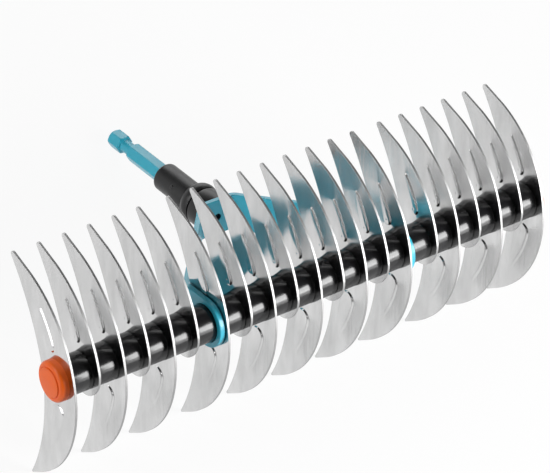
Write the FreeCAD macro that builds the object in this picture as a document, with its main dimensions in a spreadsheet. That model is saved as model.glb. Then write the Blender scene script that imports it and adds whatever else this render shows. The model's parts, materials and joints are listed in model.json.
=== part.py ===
import FreeCAD, Part
import math
import os
import re
import Sketcher

# Scarifying rake head. It lies on the floor on the tips of its long blades and
# on the end of its shank, as it does when it is put down after use.
# X runs along the axle, Y from the blades towards the shank, and Z is up. The
# origin is on the floor, in the middle of the box that the head fills.
#
# The blades, tubes and caps turn together about the axle. Their own frame has
# the upper spikes at +Z and the cutting edges at -Y. The yoke, collar, sleeve
# and shank have a frame whose +Y is the shank's axis. Both frames start on the
# axle, and both are tipped about it so that the head rests on the floor.

OUTER_BLADES = 6
INNER_BLADES = 9
BLADES = INNER_BLADES + 2 * OUTER_BLADES
MIDDLE_BLADE = (BLADES + 1) // 2

# Millimetres and degrees. Angles of blade points are seen from the centre of
# the cutting edge's arc, and count up from +Y.
SIZES = [
    ("blade_thick", 1.5, "sheet of every blade"),
    ("spacer_length", 15.6, "tube between two blades"),
    ("bearing_length", 19.6, "longer tube that runs in an eye of the yoke"),
    ("tube_radius", 11.75, "outside of all tubes"),
    ("tube_end_round", 0.9, "rounded ends of the tubes"),
    ("rod_side", 8.0, "square rod that turns all blades together"),
    ("rod_play", 0.1, "gap on each side between rod and blade"),
    ("bore_play", 0.3, "gap between the rod's corners and a tube"),
    ("hub_rim", 3.9, "blade's rim outside the tube"),
    ("front_lip", 1.95, "cutting edge ahead of the rim"),
    ("front_radius", 73.4, "arc of the cutting edge"),
    ("front_drop", 8.9, "centre of that arc below the axle"),
    ("beak_angle", 115.5, "upper end of the arc"),
    ("upper_front_angle", 102.0, "upper tip, cutting side"),
    ("upper_tip_width", 2.05, "upper tip, from its cutting side to its back side"),
    ("upper_tip_rise", 1.2, "upper tip outside the arc"),
    ("upper_tip_depth", 1.8, "upper tip inside the arc"),
    ("upper_tip_round", 1.9, "round end of the upper tip"),
    ("upper_hollow", 165.0, "hollow back edge, upper spike"),
    ("point_angle", 242.0, "lower end of the arc"),
    ("lower_front_angle", 250.4, "lower tip, cutting side"),
    ("lower_back_angle", 250.8, "lower tip, back side"),
    ("lower_tip_rise", 0.7, "lower tip outside the arc"),
    ("lower_tip_depth", 0.45, "lower tip inside the arc"),
    ("lower_tip_round", 0.75, "round end of the lower tip"),
    ("lower_hollow", 122.0, "hollow back edge, lower spike"),
    ("lobe_angle", 60.0, "where a short blade's lobe becomes round"),
    ("rib_height", 0.6, "pressed rib above the sheet"),
    ("rib_slope", 35.0, "slope of a rib's sides from upright"),
    ("upper_rib_y", 5.4, "round end of the upper rib"),
    ("upper_rib_z", 19.6, "round end of the upper rib"),
    ("upper_rib_round", 3.7, "round end's radius"),
    ("upper_rib_length", 21.5, "between the centres of its two ends"),
    ("upper_rib_angle", 66.0, "direction of the upper rib"),
    ("lower_rib_y", 0.3, "round end of the lower rib"),
    ("lower_rib_z", -22.2, "round end of the lower rib"),
    ("lower_rib_round", 5.8, "round end's radius"),
    ("lower_rib_length", 27.5, "between the centres of its two ends"),
    ("lower_rib_angle", -74.0, "direction of the lower rib"),
    ("rib_end", 1.2, "narrow end of both ribs"),
    ("rib_crown", 75.0, "rounded sides of both ribs"),
    ("stud_radius", 3.0, "threaded end of the rod"),
    ("stud_play", 0.05, "gap between stud and nut"),
    ("stud_over", 0.4, "stud beyond the nut"),
    ("nut_flats", 10.0, "across the flats of the nut"),
    ("nut_height", 3.0, "height of the nut"),
    ("cap_play", 0.3, "gap between the nut and the cap"),
    ("cap_radius", 12.6, "end cap"),
    ("cap_length", 5.3, "end cap up to its ring"),
    ("cap_round", 1.3, "rounded edge of the cap"),
    ("cap_disc_radius", 9.2, "raised disc on the cap"),
    ("cap_disc_rise", 0.7, "disc above the ring"),
    ("cap_disc_round", 0.5, "rounded edge of the disc"),
    ("yoke_thick", 3.6, "flat bar of the yoke"),
    ("yoke_play", 0.55, "gap between an eye and the blade beside it"),
    ("eye_wall", 3.6, "ring of an eye outside its bore"),
    ("eye_clearance", 0.06, "running fit of a tube in its eye"),
    ("bend_reach", 21.4, "axle to the bend behind an eye"),
    ("flat_reach", 87.0, "axle to the front of the flat"),
    ("flat_half_width", 11.2, "middle of the flat to its bend"),
    ("flat_half_height", 12.5, "half the height of the bar at the flat"),
    ("bend_radius", 3.0, "inside of every bend"),
    ("flat_hole_radius", 2.4, "hole in the middle of the flat"),
    ("vent_depth", 6.0, "the same hole, into the shank"),
    ("stop_gap", 0.5, "blade's back edge to the arm it stops on"),
    ("collar_length", 11.5, "black collar behind the flat"),
    ("collar_front_radius", 12.0, "collar at the flat"),
    ("neck_radius", 12.7, "collar and sleeve where they meet"),
    ("collar_crown", 60.0, "slightly rounded side of the collar"),
    ("neck_groove", 1.1, "open groove between collar and sleeve"),
    ("neck_groove_depth", 1.8, "depth of that groove"),
    ("sleeve_length", 40.0, "black sleeve"),
    ("sleeve_radius", 9.3, "sleeve"),
    ("sleeve_rim_round", 1.6, "rounded rear edge of the sleeve"),
    ("flange_length", 8.0, "wide front end of the sleeve"),
    ("flange_crown", 7.5, "rounded shoulder of that end"),
    ("flange_step", 2.2, "step from the shoulder to the sleeve"),
    ("flare_length", 26.0, "flare below the sleeve"),
    ("nub_radius", 1.6, "small nub on the sleeve's side"),
    ("nub_height", 0.6, "nub above the sleeve"),
    ("nub_slope", 40.0, "slope of the nub's side from upright"),
    ("nub_angle", 29.0, "nub above the sleeve's side"),
    ("nub_ahead", 18.2, "nub ahead of the sleeve's rim"),
    ("hex_flats", 11.0, "across the flats of the shank"),
    ("hex_play", 0.1, "gap between shank and sleeve"),
    ("shank_length", 34.8, "hexagon behind the sleeve"),
    ("waist_length", 8.7, "round waist that the catch drops into"),
    ("waist_step", 0.7, "waist inside the chamfered ends"),
    ("waist_round", 0.5, "fillets of the waist"),
    ("knob_length", 12.0, "hexagon at the shank's end"),
    ("hex_bevel", 0.7, "chamfer's end inside the flats"),
    ("hex_chamfer", 1.3, "length of a chamfer"),
    ("overrun", 5.0, "cuts run past the solid by this"),
]

# Values that follow from the sizes above.
DERIVED = [
    ("blade_pitch", "spacer_length + blade_thick"),
    ("bearing_extra", "bearing_length - spacer_length"),
    ("outer_face", "(BLADES - 1) / 2 * blade_pitch + bearing_extra + blade_thick / 2"),
    ("hub_radius", "tube_radius + hub_rim"),
    ("tube_bore", "rod_side / sqrt(2) + bore_play"),
    ("rod_hole", "rod_side + 2 * rod_play"),
    ("front_reach", "hub_radius + front_lip"),
    ("front_centre", "front_radius - front_reach"),
    ("beak_y", "front_centre + front_radius * cos(beak_angle)"),
    ("beak_z", "front_radius * sin(beak_angle) - front_drop"),
    ("point_y", "front_centre + front_radius * cos(point_angle)"),
    ("point_z", "front_radius * sin(point_angle) - front_drop"),
    ("upper_back_angle", "upper_front_angle - upper_tip_width / front_radius * 180 / pi"),
    ("upper_front_y", "front_centre + (front_radius + upper_tip_rise) * cos(upper_front_angle)"),
    ("upper_front_z", "(front_radius + upper_tip_rise) * sin(upper_front_angle) - front_drop"),
    ("upper_back_y", "front_centre + (front_radius - upper_tip_depth) * cos(upper_back_angle)"),
    ("upper_back_z", "(front_radius - upper_tip_depth) * sin(upper_back_angle) - front_drop"),
    ("lower_front_y", "front_centre + (front_radius + lower_tip_rise) * cos(lower_front_angle)"),
    ("lower_front_z", "(front_radius + lower_tip_rise) * sin(lower_front_angle) - front_drop"),
    ("lower_back_y", "front_centre + (front_radius - lower_tip_depth) * cos(lower_back_angle)"),
    ("lower_back_z", "(front_radius - lower_tip_depth) * sin(lower_back_angle) - front_drop"),
    ("lobe_y", "-hub_radius * cos(lobe_angle)"),
    ("lobe_z", "-hub_radius * sin(lobe_angle)"),
    ("lobe_start_z", "(front_reach + lobe_y) / tan(lobe_angle / 2) + lobe_z"),
    ("lobe_start_y", "front_centre - sqrt(front_radius ^ 2 - (lobe_start_z + front_drop) ^ 2)"),
    ("lobe_chord", "hypot(lobe_y - lobe_start_y; lobe_start_z - lobe_z)"),
    ("lobe_round", "lobe_chord / sin(lobe_angle / 2) / 2"),
    ("nut_radius", "nut_flats / sqrt(3)"),
    ("cap_bore_radius", "nut_radius + cap_play"),
    ("cap_bore_depth", "nut_height + stud_over + cap_play"),
    ("eye_bore", "tube_radius + eye_clearance"),
    ("eye_radius", "eye_bore + eye_wall"),
    ("inner_face", "(INNER_BLADES - 1) / 2 * blade_pitch + blade_thick / 2"),
    ("eye_face", "inner_face + yoke_play"),
    ("arm_angle", "atan2(flat_reach - bend_reach; eye_face - flat_half_width) / 1 deg"),
    ("flat_tangent", "bend_radius * tan(arm_angle / 2)"),
    ("eye_tangent", "bend_radius * tan((90 - arm_angle) / 2)"),
    ("flat_distance", "hypot(flat_reach; flat_half_height)"),
    ("taper", "(asin(eye_radius / flat_distance) - atan2(flat_half_height; flat_reach)) / 1 deg"),
    ("flat_back", "flat_reach + yoke_thick"),
    ("profile_end", "flat_back + overrun"),
    ("profile_end_z", "(eye_radius - profile_end * sin(taper)) / cos(taper)"),
    ("collar_end", "flat_back + collar_length"),
    ("sleeve_start", "collar_end + neck_groove"),
    ("sleeve_end", "sleeve_start + sleeve_length"),
    ("waist_start", "sleeve_end + shank_length"),
    ("knob_start", "waist_start + waist_length"),
    ("knob_end", "knob_start + knob_length"),
    ("hex_half", "hex_flats / 2"),
    ("hex_corner", "hex_flats / sqrt(3)"),
    ("hex_end_radius", "hex_half - hex_bevel"),
    ("waist_radius", "hex_end_radius - waist_step"),
    # The arm's upper corner beside the last inner blade, which that blade's
    # hollow back edge stops on.
    ("stop_y", "bend_reach + yoke_play * tan(arm_angle)"),
    ("stop_z", "(eye_radius - stop_y * sin(taper)) / cos(taper)"),
    ("hollow_y", "(hub_radius + upper_back_y) / 2"),
    ("hollow_z", "upper_back_z / 2"),
    ("hollow_chord", "hypot(upper_back_y - hub_radius; upper_back_z)"),
    ("hollow_off", "sqrt(upper_hollow ^ 2 - hollow_chord ^ 2 / 4) / hollow_chord"),
    ("hollow_centre_y", "hollow_y + hollow_off * upper_back_z"),
    ("hollow_centre_z", "hollow_z - hollow_off * (upper_back_y - hub_radius)"),
    ("hollow_distance", "hypot(hollow_centre_y; hollow_centre_z)"),
    ("stop_distance", "hypot(stop_y; stop_z)"),
    ("stop_rest", "stop_distance ^ 2 + hollow_distance ^ 2 - (upper_hollow - stop_gap) ^ 2"),
    ("stop_angle", "acos(stop_rest / (2 * stop_distance * hollow_distance)) / 1 deg"),
    ("hollow_angle", "atan2(hollow_centre_z; hollow_centre_y) / 1 deg"),
    ("stop_turn", "hollow_angle + stop_angle - atan2(stop_z; stop_y) / 1 deg"),
    # The same corner below, which the lower hollow edge reaches when the blades
    # swing back.
    ("hook_chord", "hypot(lower_back_y - hub_radius; lower_back_z)"),
    ("hook_off", "sqrt(lower_hollow ^ 2 - hook_chord ^ 2 / 4) / hook_chord"),
    ("hook_centre_y", "(hub_radius + lower_back_y) / 2 - hook_off * lower_back_z"),
    ("hook_centre_z", "lower_back_z / 2 + hook_off * (lower_back_y - hub_radius)"),
    ("hook_distance", "hypot(hook_centre_y; hook_centre_z)"),
    ("hook_rest", "stop_distance ^ 2 + hook_distance ^ 2 - (lower_hollow - stop_gap) ^ 2"),
    ("hook_angle", "acos(hook_rest / (2 * stop_distance * hook_distance)) / 1 deg"),
    ("hook_turn", "hook_angle - (atan2(hook_centre_z; hook_centre_y) + atan2(stop_z; stop_y)) / 1 deg"),
    ("swing", "hook_turn + stop_turn"),
    # The round of the lower tip, and the low edge of the shank's end, which
    # both lie on the floor.
    ("tip_y", "lower_back_y - lower_front_y"),
    ("tip_z", "lower_back_z - lower_front_z"),
    ("tip_chord", "hypot(tip_y; tip_z)"),
    ("tip_off", "sqrt(lower_tip_round ^ 2 - tip_chord ^ 2 / 4) / tip_chord"),
    ("tip_centre_y", "(lower_back_y + lower_front_y) / 2 - tip_off * tip_z"),
    ("tip_centre_z", "(lower_back_z + lower_front_z) / 2 + tip_off * tip_y"),
    ("chamfer_share", "(hex_half - hex_end_radius) / (hex_corner - hex_end_radius)"),
    ("heel_y", "knob_end - hex_chamfer * chamfer_share"),
    ("lean_y", "heel_y - tip_centre_y * cos(stop_turn) - tip_centre_z * sin(stop_turn)"),
    ("lean_z", "hex_half - tip_centre_y * sin(stop_turn) + tip_centre_z * cos(stop_turn)"),
    ("lean", "asin(lower_tip_round / hypot(lean_y; lean_z)) / 1 deg"),
    ("yoke_tip", "lean - atan2(lean_z; lean_y) / 1 deg"),
    ("blade_tip", "yoke_tip + stop_turn"),
    ("axle_height", "heel_y * sin(yoke_tip) + hex_half * cos(yoke_tip)"),
    ("front_y", "front_centre * cos(blade_tip) - front_drop * sin(blade_tip) - front_radius"),
    ("rear_y", "knob_end * cos(yoke_tip) + hex_end_radius * sin(yoke_tip)"),
    ("axle_y", "-(front_y + rear_y) / 2"),
]

COUNTS = {"BLADES": BLADES, "INNER_BLADES": INNER_BLADES}
NAMES = [row[0] for row in SIZES + DERIVED]

OUT = 1
IN = -1

doc = FreeCAD.newDocument("ScarifyingRake")
sheet = doc.addObject("Spreadsheet::Sheet", "Sizes")
pieces = []


def fill_sheet():
    """Sizes as plain numbers, and below them the formulas that follow."""
    row = 1
    for name, value, meaning in SIZES:
        sheet.set(f"A{row}", meaning)
        sheet.set(f"B{row}", str(value))
        sheet.setAlias(f"B{row}", name)
        row += 1
    for name, formula in DERIVED:
        for count, value in COUNTS.items():
            formula = re.sub(rf"\b{count}\b", str(value), formula)
        sheet.set(f"A{row}", name)
        sheet.set(f"B{row}", "=" + formula)
        sheet.setAlias(f"B{row}", name)
        row += 1
    doc.recompute()


def cells(text):
    """An expression with every name read from the sheet."""
    def from_sheet(word):
        return f"Sizes.{word.group()}" if word.group() in NAMES else word.group()
    return re.sub(r"[a-z_]\w*", from_sheet, text)


def number(text):
    """What an expression is worth now."""
    value = sheet.evalExpression(cells(text))
    return float(getattr(value, "Value", value))


def bind(item, prop, text):
    item.setExpression(prop, cells(text))


def new_body(name, turn, x="0"):
    """An empty body on the axle, x along it, tipped about it by turn."""
    body = doc.addObject("PartDesign::Body", name)
    body.Label = name
    bind(body, "Placement.Base.x", x)
    bind(body, "Placement.Base.y", "axle_y")
    bind(body, "Placement.Base.z", "axle_height")
    bind(body, "Placement.Rotation.Axis.x", "1")
    bind(body, "Placement.Rotation.Axis.z", "0")
    bind(body, "Placement.Rotation.Angle", turn)
    pieces.append(body)
    return body


def new_sketch(body, plane, title):
    """A sketch on one of the body's own planes."""
    sketch = body.newObject("Sketcher::SketchObject", f"{body.Name}_{title}")
    support = [feature for feature in body.Origin.OriginFeatures if feature.Role == plane][0]
    sketch.AttachmentSupport = [(support, "")]
    sketch.MapMode = "FlatFace"
    return sketch


def outline(sketch, corners, edges):
    """A closed outline. An edge is None where it is straight, else its radius and OUT or IN."""
    points = [FreeCAD.Vector(number(x), number(y), 0) for x, y in corners]
    following = points[1:] + points[:1]
    area = sum(a.x * b.y - b.x * a.y for a, b in zip(points, following))
    turn = math.copysign(1, area)
    ends = []
    rules = []
    texts = {}
    for start, end, edge in zip(points, following, edges):
        if edge is None:
            index = sketch.addGeometry(Part.LineSegment(start, end), False)
            ends.append((index, 1, 2))
            continue
        radius = number(edge[0])
        chord = end - start
        inward = FreeCAD.Vector(-chord.y, chord.x, 0).normalize() * (turn * edge[1])
        centre = (start + end) / 2 + inward * math.sqrt(radius ** 2 - chord.Length ** 2 / 4)
        angles = [math.atan2(point.y - centre.y, point.x - centre.x) for point in (start, end)]
        forward = turn * edge[1] > 0
        if not forward:
            angles.reverse()
        if angles[1] < angles[0]:
            angles[1] += 2 * math.pi
        drawn = Part.ArcOfCircle(Part.Circle(centre, FreeCAD.Vector(0, 0, 1), radius), *angles)
        index = sketch.addGeometry(drawn, False)
        ends.append((index, 1, 2) if forward else (index, 2, 1))
    for place, (index, first, last) in enumerate(ends):
        before = ends[place - 1]
        rules.append(Sketcher.Constraint("Coincident", before[0], before[2], index, first))
        across, up = corners[place]
        for axis, line, text in (("DistanceX", -2, across), ("DistanceY", -1, up)):
            if text == "0":
                rules.append(Sketcher.Constraint("PointOnObject", index, first, line))
            else:
                texts[len(rules)] = text
                rules.append(Sketcher.Constraint(axis, -1, 1, index, first, number(text)))
        if edges[place] is not None:
            texts[len(rules)] = edges[place][0]
            rules.append(Sketcher.Constraint("Radius", index, number(edges[place][0])))
    offset = sketch.ConstraintCount
    sketch.addConstraint(rules)
    for place, text in texts.items():
        bind(sketch, f"Constraints[{offset + place}]", text)


def circle(sketch, radius, x="0", y="0"):
    """A round outline."""
    centre = FreeCAD.Vector(number(x), number(y), 0)
    index = sketch.addGeometry(Part.Circle(centre, FreeCAD.Vector(0, 0, 1), number(radius)), False)
    for axis, line, text in (("DistanceX", -2, x), ("DistanceY", -1, y)):
        if text == "0":
            sketch.addConstraint(Sketcher.Constraint("PointOnObject", index, 3, line))
        else:
            rule = sketch.addConstraint(Sketcher.Constraint(axis, -1, 1, index, 3, number(text)))
            bind(sketch, f"Constraints[{rule}]", text)
    rule = sketch.addConstraint(Sketcher.Constraint("Radius", index, number(radius)))
    bind(sketch, f"Constraints[{rule}]", radius)


def polygon(sketch, corners):
    outline(sketch, corners, [None] * len(corners))


def square(sketch, side):
    half = f"{side} / 2"
    polygon(sketch, [(half, half), (f"-{half}", half), (f"-{half}", f"-{half}"), (half, f"-{half}")])


def hexagon(sketch, flats):
    """A hexagon with two flats facing up and down."""
    corner = f"({flats}) / sqrt(3)"
    half = f"({flats}) / 2"
    polygon(sketch, [
        (corner, "0"), (f"{corner} / 2", half), (f"-{corner} / 2", half),
        (f"-{corner}", "0"), (f"-{corner} / 2", f"-{half}"), (f"{corner} / 2", f"-{half}"),
    ])


def pad(body, sketch, length, both_ways=False, backwards=False):
    feature = body.newObject("PartDesign::Pad", sketch.Name + "_pad")
    feature.Profile = sketch
    bind(feature, "Length", length)
    if both_ways:
        feature.SideType = "Symmetric"
    feature.Reversed = backwards
    return feature


def cut_through(body, sketch):
    """Cut right through the body, to both sides of the sketch."""
    feature = body.newObject("PartDesign::Pocket", sketch.Name + "_cut")
    feature.Profile = sketch
    feature.SideType = "Symmetric"
    feature.Type = "ThroughAll"


def cut_deep(body, sketch, length):
    feature = body.newObject("PartDesign::Pocket", sketch.Name + "_cut")
    feature.Profile = sketch
    feature.Type = "Length"
    bind(feature, "Length", length)


def revolve(body, sketch, kind="PartDesign::Revolution"):
    """Turn an outline a full turn about the sketch's own X."""
    feature = body.newObject(kind, sketch.Name + "_turned")
    feature.Profile = sketch
    feature.ReferenceAxis = (sketch, ["H_Axis"])
    feature.Angle = 360
    return feature


def blade_x(count):
    """Where the middle of a blade is along the axle."""
    steps = count - MIDDLE_BLADE
    side = 0
    if abs(steps) > (INNER_BLADES - 1) // 2:
        side = int(math.copysign(1, steps))
    return f"{steps} * blade_pitch + {side} * bearing_extra"


def rib_outline(sketch, end, length):
    """A teardrop along the sketch's X, its round end on the sketch's origin."""
    near = f"(rib_crown - {end})"
    far = "(rib_crown - rib_end)"
    spread = f"acos(({length} ^ 2 + {near} ^ 2 - {far} ^ 2) / (2 * {length} * {near}))"
    wide = (f"-{end} * cos({spread})", f"{end} * sin({spread})")
    narrow = (
        f"{length} + rib_end * ({length} - {near} * cos({spread})) / {far}",
        f"rib_end * {near} * sin({spread}) / {far}",
    )
    side = ("rib_crown", OUT)
    outline(
        sketch,
        [(wide[0], f"-{wide[1]}"), (narrow[0], f"-{narrow[1]}"), narrow, wide, (f"-{end}", "0")],
        [side, ("rib_end", OUT), side, (end, OUT), (end, OUT)],
    )


def add_rib(body, which):
    """Press a rib into the blade: proud on its left face and hollow on its right."""
    proud_end = f"{which}_rib_round"
    hollow_end = f"({proud_end} - rib_height)"
    for title, level, end in (("proud", -1, proud_end), ("hollow", 1, hollow_end)):
        sketch = new_sketch(body, "YZ_Plane", f"{which}_{title}")
        bind(sketch, "AttachmentOffset.Base.x", f"{which}_rib_y")
        bind(sketch, "AttachmentOffset.Base.y", f"{which}_rib_z")
        bind(sketch, "AttachmentOffset.Base.z", f"{level} * blade_thick / 2")
        bind(sketch, "AttachmentOffset.Rotation.Angle", f"{which}_rib_angle")
        rib_outline(sketch, end, f"{which}_rib_length")
        if title == "proud":
            feature = pad(body, sketch, "rib_height", backwards=True)
            bind(feature, "TaperAngle", "-rib_slope")
        else:
            cut_deep(body, sketch, "rib_height")


def make_blade(count):
    """One blade: odd ones have a lower spike too, even ones end in a round lobe."""
    is_long = count % 2 == 1
    body = new_body(f"blade_{count:02d}", "-blade_tip", blade_x(count))
    sketch = new_sketch(body, "YZ_Plane", "outline")
    beak = ("beak_y", "beak_z")
    hub = ("hub_radius", "0")
    upper_back = ("upper_back_y", "upper_back_z")
    upper_front = ("upper_front_y", "upper_front_z")
    if is_long:
        lower_back = ("lower_back_y", "lower_back_z")
        below = [("point_y", "point_z"), ("lower_front_y", "lower_front_z"), lower_back]
        edges = [("front_radius", OUT), None, ("lower_tip_round", OUT), ("lower_hollow", IN)]
    else:
        below = [("lobe_start_y", "lobe_start_z"), ("lobe_y", "lobe_z")]
        edges = [("front_radius", OUT), ("lobe_round", OUT), ("hub_radius", OUT)]
    outline(
        sketch,
        [beak] + below + [hub, upper_back, upper_front],
        edges + [("upper_hollow", IN), ("upper_tip_round", OUT), None],
    )
    square(sketch, "rod_hole")
    pad(body, sketch, "blade_thick", both_ways=True)
    add_rib(body, "upper")
    if is_long:
        add_rib(body, "lower")


def make_tube(name, length, x):
    """A tube on the rod, with rounded ends."""
    body = new_body(name, "-blade_tip", x)
    sketch = new_sketch(body, "XZ_Plane", "profile")
    half = f"{length} / 2"
    outline(
        sketch,
        [
            (f"-{half}", "tube_bore"), (half, "tube_bore"), (half, "tube_radius - tube_end_round"),
            (f"{half} - tube_end_round", "tube_radius"), (f"tube_end_round - {half}", "tube_radius"),
            (f"-{half}", "tube_radius - tube_end_round"),
        ],
        [None, None, ("tube_end_round", OUT), None, ("tube_end_round", OUT), None],
    )
    revolve(body, sketch)


def make_rod():
    """The square rod through all blades, with a threaded stud at each end."""
    body = new_body("tie_rod", "-blade_tip")
    sketch = new_sketch(body, "YZ_Plane", "square")
    square(sketch, "rod_side")
    pad(body, sketch, "2 * outer_face", both_ways=True)
    sketch = new_sketch(body, "YZ_Plane", "studs")
    circle(sketch, "stud_radius")
    pad(body, sketch, "2 * (outer_face + nut_height + stud_over)", both_ways=True)


def make_nut(name, side):
    """A hexagon nut on the stud, against the last blade."""
    body = new_body(name, "-blade_tip", f"{side} * (outer_face + nut_height / 2)")
    sketch = new_sketch(body, "YZ_Plane", "hexagon")
    hexagon(sketch, "nut_flats")
    circle(sketch, "stud_radius + stud_play")
    pad(body, sketch, "nut_height", both_ways=True)


def make_cap(name, side):
    """An end cap over the nut, with a raised disc."""
    body = new_body(name, "-blade_tip", f"{side} * outer_face")
    sketch = new_sketch(body, "XZ_Plane", "profile")
    face = "cap_length + cap_disc_rise"
    profile = [
        ("0", "cap_bore_radius"), ("0", "cap_radius"), ("cap_length - cap_round", "cap_radius"),
        ("cap_length", "cap_radius - cap_round"), ("cap_length", "cap_disc_radius"),
        (f"{face} - cap_disc_round", "cap_disc_radius"), (face, "cap_disc_radius - cap_disc_round"),
        (face, "0"), ("cap_bore_depth", "0"), ("cap_bore_depth", "cap_bore_radius"),
    ]
    corners = [(x if x == "0" else f"{side} * ({x})", y) for x, y in profile]
    round_edge = ("cap_round", OUT)
    disc_edge = ("cap_disc_round", OUT)
    outline(sketch, corners, [None, None, round_edge, None, None, disc_edge, None, None, None, None])
    revolve(body, sketch)


def yoke_side(side):
    """Corners of one half of the bent bar, from the flat to the eye, inner face then outer."""
    arm_x = "flat_half_width + flat_tangent * cos(arm_angle)"
    arm_y = "flat_reach - flat_tangent * sin(arm_angle)"
    bend_x = "eye_face - eye_tangent * cos(arm_angle)"
    bend_y = "bend_reach + eye_tangent * sin(arm_angle)"
    inner = [
        ("flat_half_width - flat_tangent", "flat_reach"), (arm_x, arm_y), (bend_x, bend_y),
        ("eye_face", "bend_reach - eye_tangent"), ("eye_face", "-eye_radius"),
    ]
    across_x = "yoke_thick * sin(arm_angle)"
    across_y = "yoke_thick * cos(arm_angle)"
    outer = [
        ("flat_half_width - flat_tangent", "flat_back"), (f"{arm_x} + {across_x}", f"{arm_y} + {across_y}"),
        (f"{bend_x} + {across_x}", f"{bend_y} + {across_y}"),
        ("eye_face + yoke_thick", "bend_reach - eye_tangent"), ("eye_face + yoke_thick", "-eye_radius"),
    ]
    return [[(f"{side} * ({x})", y) for x, y in face] for face in (inner, outer)]


def make_yoke():
    """A flat bar bent to a flat, two arms and two eyes."""
    body = new_body("yoke", "-yoke_tip")
    right_inner, right_outer = yoke_side(1)
    left_inner, left_outer = yoke_side(-1)
    inside = ("bend_radius", IN)
    outside = ("bend_radius + yoke_thick", OUT)
    sketch = new_sketch(body, "XY_Plane", "bar")
    outline(
        sketch,
        right_inner + right_outer[::-1] + left_outer + left_inner[::-1],
        [inside, None, inside, None, None, None, outside, None, outside, None]
        + [outside, None, outside, None, None, None, inside, None, inside, None],
    )
    pad(body, sketch, "2 * eye_radius", both_ways=True)
    sketch = new_sketch(body, "YZ_Plane", "waste")
    high = "eye_radius + overrun"
    far = "profile_end + overrun"
    polygon(sketch, [(f"-({high})", f"-({high})"), (far, f"-({high})"), (far, high), (f"-({high})", high)])
    tangent = ("eye_radius * sin(taper)", "eye_radius * cos(taper)")
    outline(
        sketch,
        [
            ("-eye_radius", "0"), (tangent[0], f"-{tangent[1]}"), ("profile_end", "-profile_end_z"),
            ("profile_end", "profile_end_z"), tangent,
        ],
        [("eye_radius", OUT), None, None, None, ("eye_radius", OUT)],
    )
    cut_through(body, sketch)
    sketch = new_sketch(body, "YZ_Plane", "eyes")
    circle(sketch, "eye_bore")
    cut_through(body, sketch)
    sketch = new_sketch(body, "XZ_Plane", "hole")
    circle(sketch, "flat_hole_radius")
    cut_through(body, sketch)


def bore_hexagon(body):
    """The hexagon hole that the shank fills."""
    sketch = new_sketch(body, "XZ_Plane", "bore")
    hexagon(sketch, "hex_flats + 2 * hex_play")
    cut_through(body, sketch)


def make_collar():
    """The black collar behind the flat, with a spigot that meets the sleeve."""
    body = new_body("collar", "-yoke_tip")
    sketch = new_sketch(body, "YZ_Plane", "profile")
    spigot = "neck_radius - neck_groove_depth"
    outline(
        sketch,
        [
            ("flat_back", "0"), ("sleeve_start", "0"), ("sleeve_start", spigot),
            ("collar_end", spigot), ("collar_end", "neck_radius"), ("flat_back", "collar_front_radius"),
        ],
        [None, None, None, None, ("collar_crown", OUT), None],
    )
    revolve(body, sketch)
    bore_hexagon(body)


def make_sleeve():
    """The black sleeve: a wide front end, a flare below it and a rounded rim."""
    body = new_body("sleeve", "-yoke_tip")
    sketch = new_sketch(body, "YZ_Plane", "profile")
    shoulder = "sleeve_start + flange_length"
    outline(
        sketch,
        [
            ("sleeve_start", "0"), ("sleeve_end", "0"), ("sleeve_end", "sleeve_radius - sleeve_rim_round"),
            ("sleeve_end - sleeve_rim_round", "sleeve_radius"), (shoulder, "sleeve_radius"),
            (shoulder, "sleeve_radius + flange_step"), ("sleeve_start", "neck_radius"),
        ],
        [None, None, ("sleeve_rim_round", OUT), None, None, ("flange_crown", OUT), None],
    )
    revolve(body, sketch)
    sketch = new_sketch(body, "YZ_Plane", "flare")
    polygon(sketch, [
        ("sleeve_start", "waist_radius - sleeve_radius"), ("sleeve_start", "-neck_radius"),
        ("sleeve_start + flare_length", "-sleeve_radius"),
        ("sleeve_start + flare_length", "waist_radius - sleeve_radius"),
    ])
    feature = revolve(body, sketch)
    feature.Midplane = True
    feature.Angle = 180
    sketch = new_sketch(body, "XY_Plane", "nub")
    bind(sketch, "AttachmentOffset.Base.x", "-(sleeve_radius - nub_height) * cos(nub_angle)")
    bind(sketch, "AttachmentOffset.Base.y", "sleeve_end - nub_ahead")
    bind(sketch, "AttachmentOffset.Base.z", "(sleeve_radius - nub_height) * sin(nub_angle)")
    bind(sketch, "AttachmentOffset.Rotation.Axis.y", "1")
    bind(sketch, "AttachmentOffset.Rotation.Axis.z", "0")
    bind(sketch, "AttachmentOffset.Rotation.Angle", "nub_angle - 90")
    circle(sketch, "nub_radius")
    feature = pad(body, sketch, "2 * nub_height")
    bind(feature, "TaperAngle", "-nub_slope")
    bore_hexagon(body)


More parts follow.
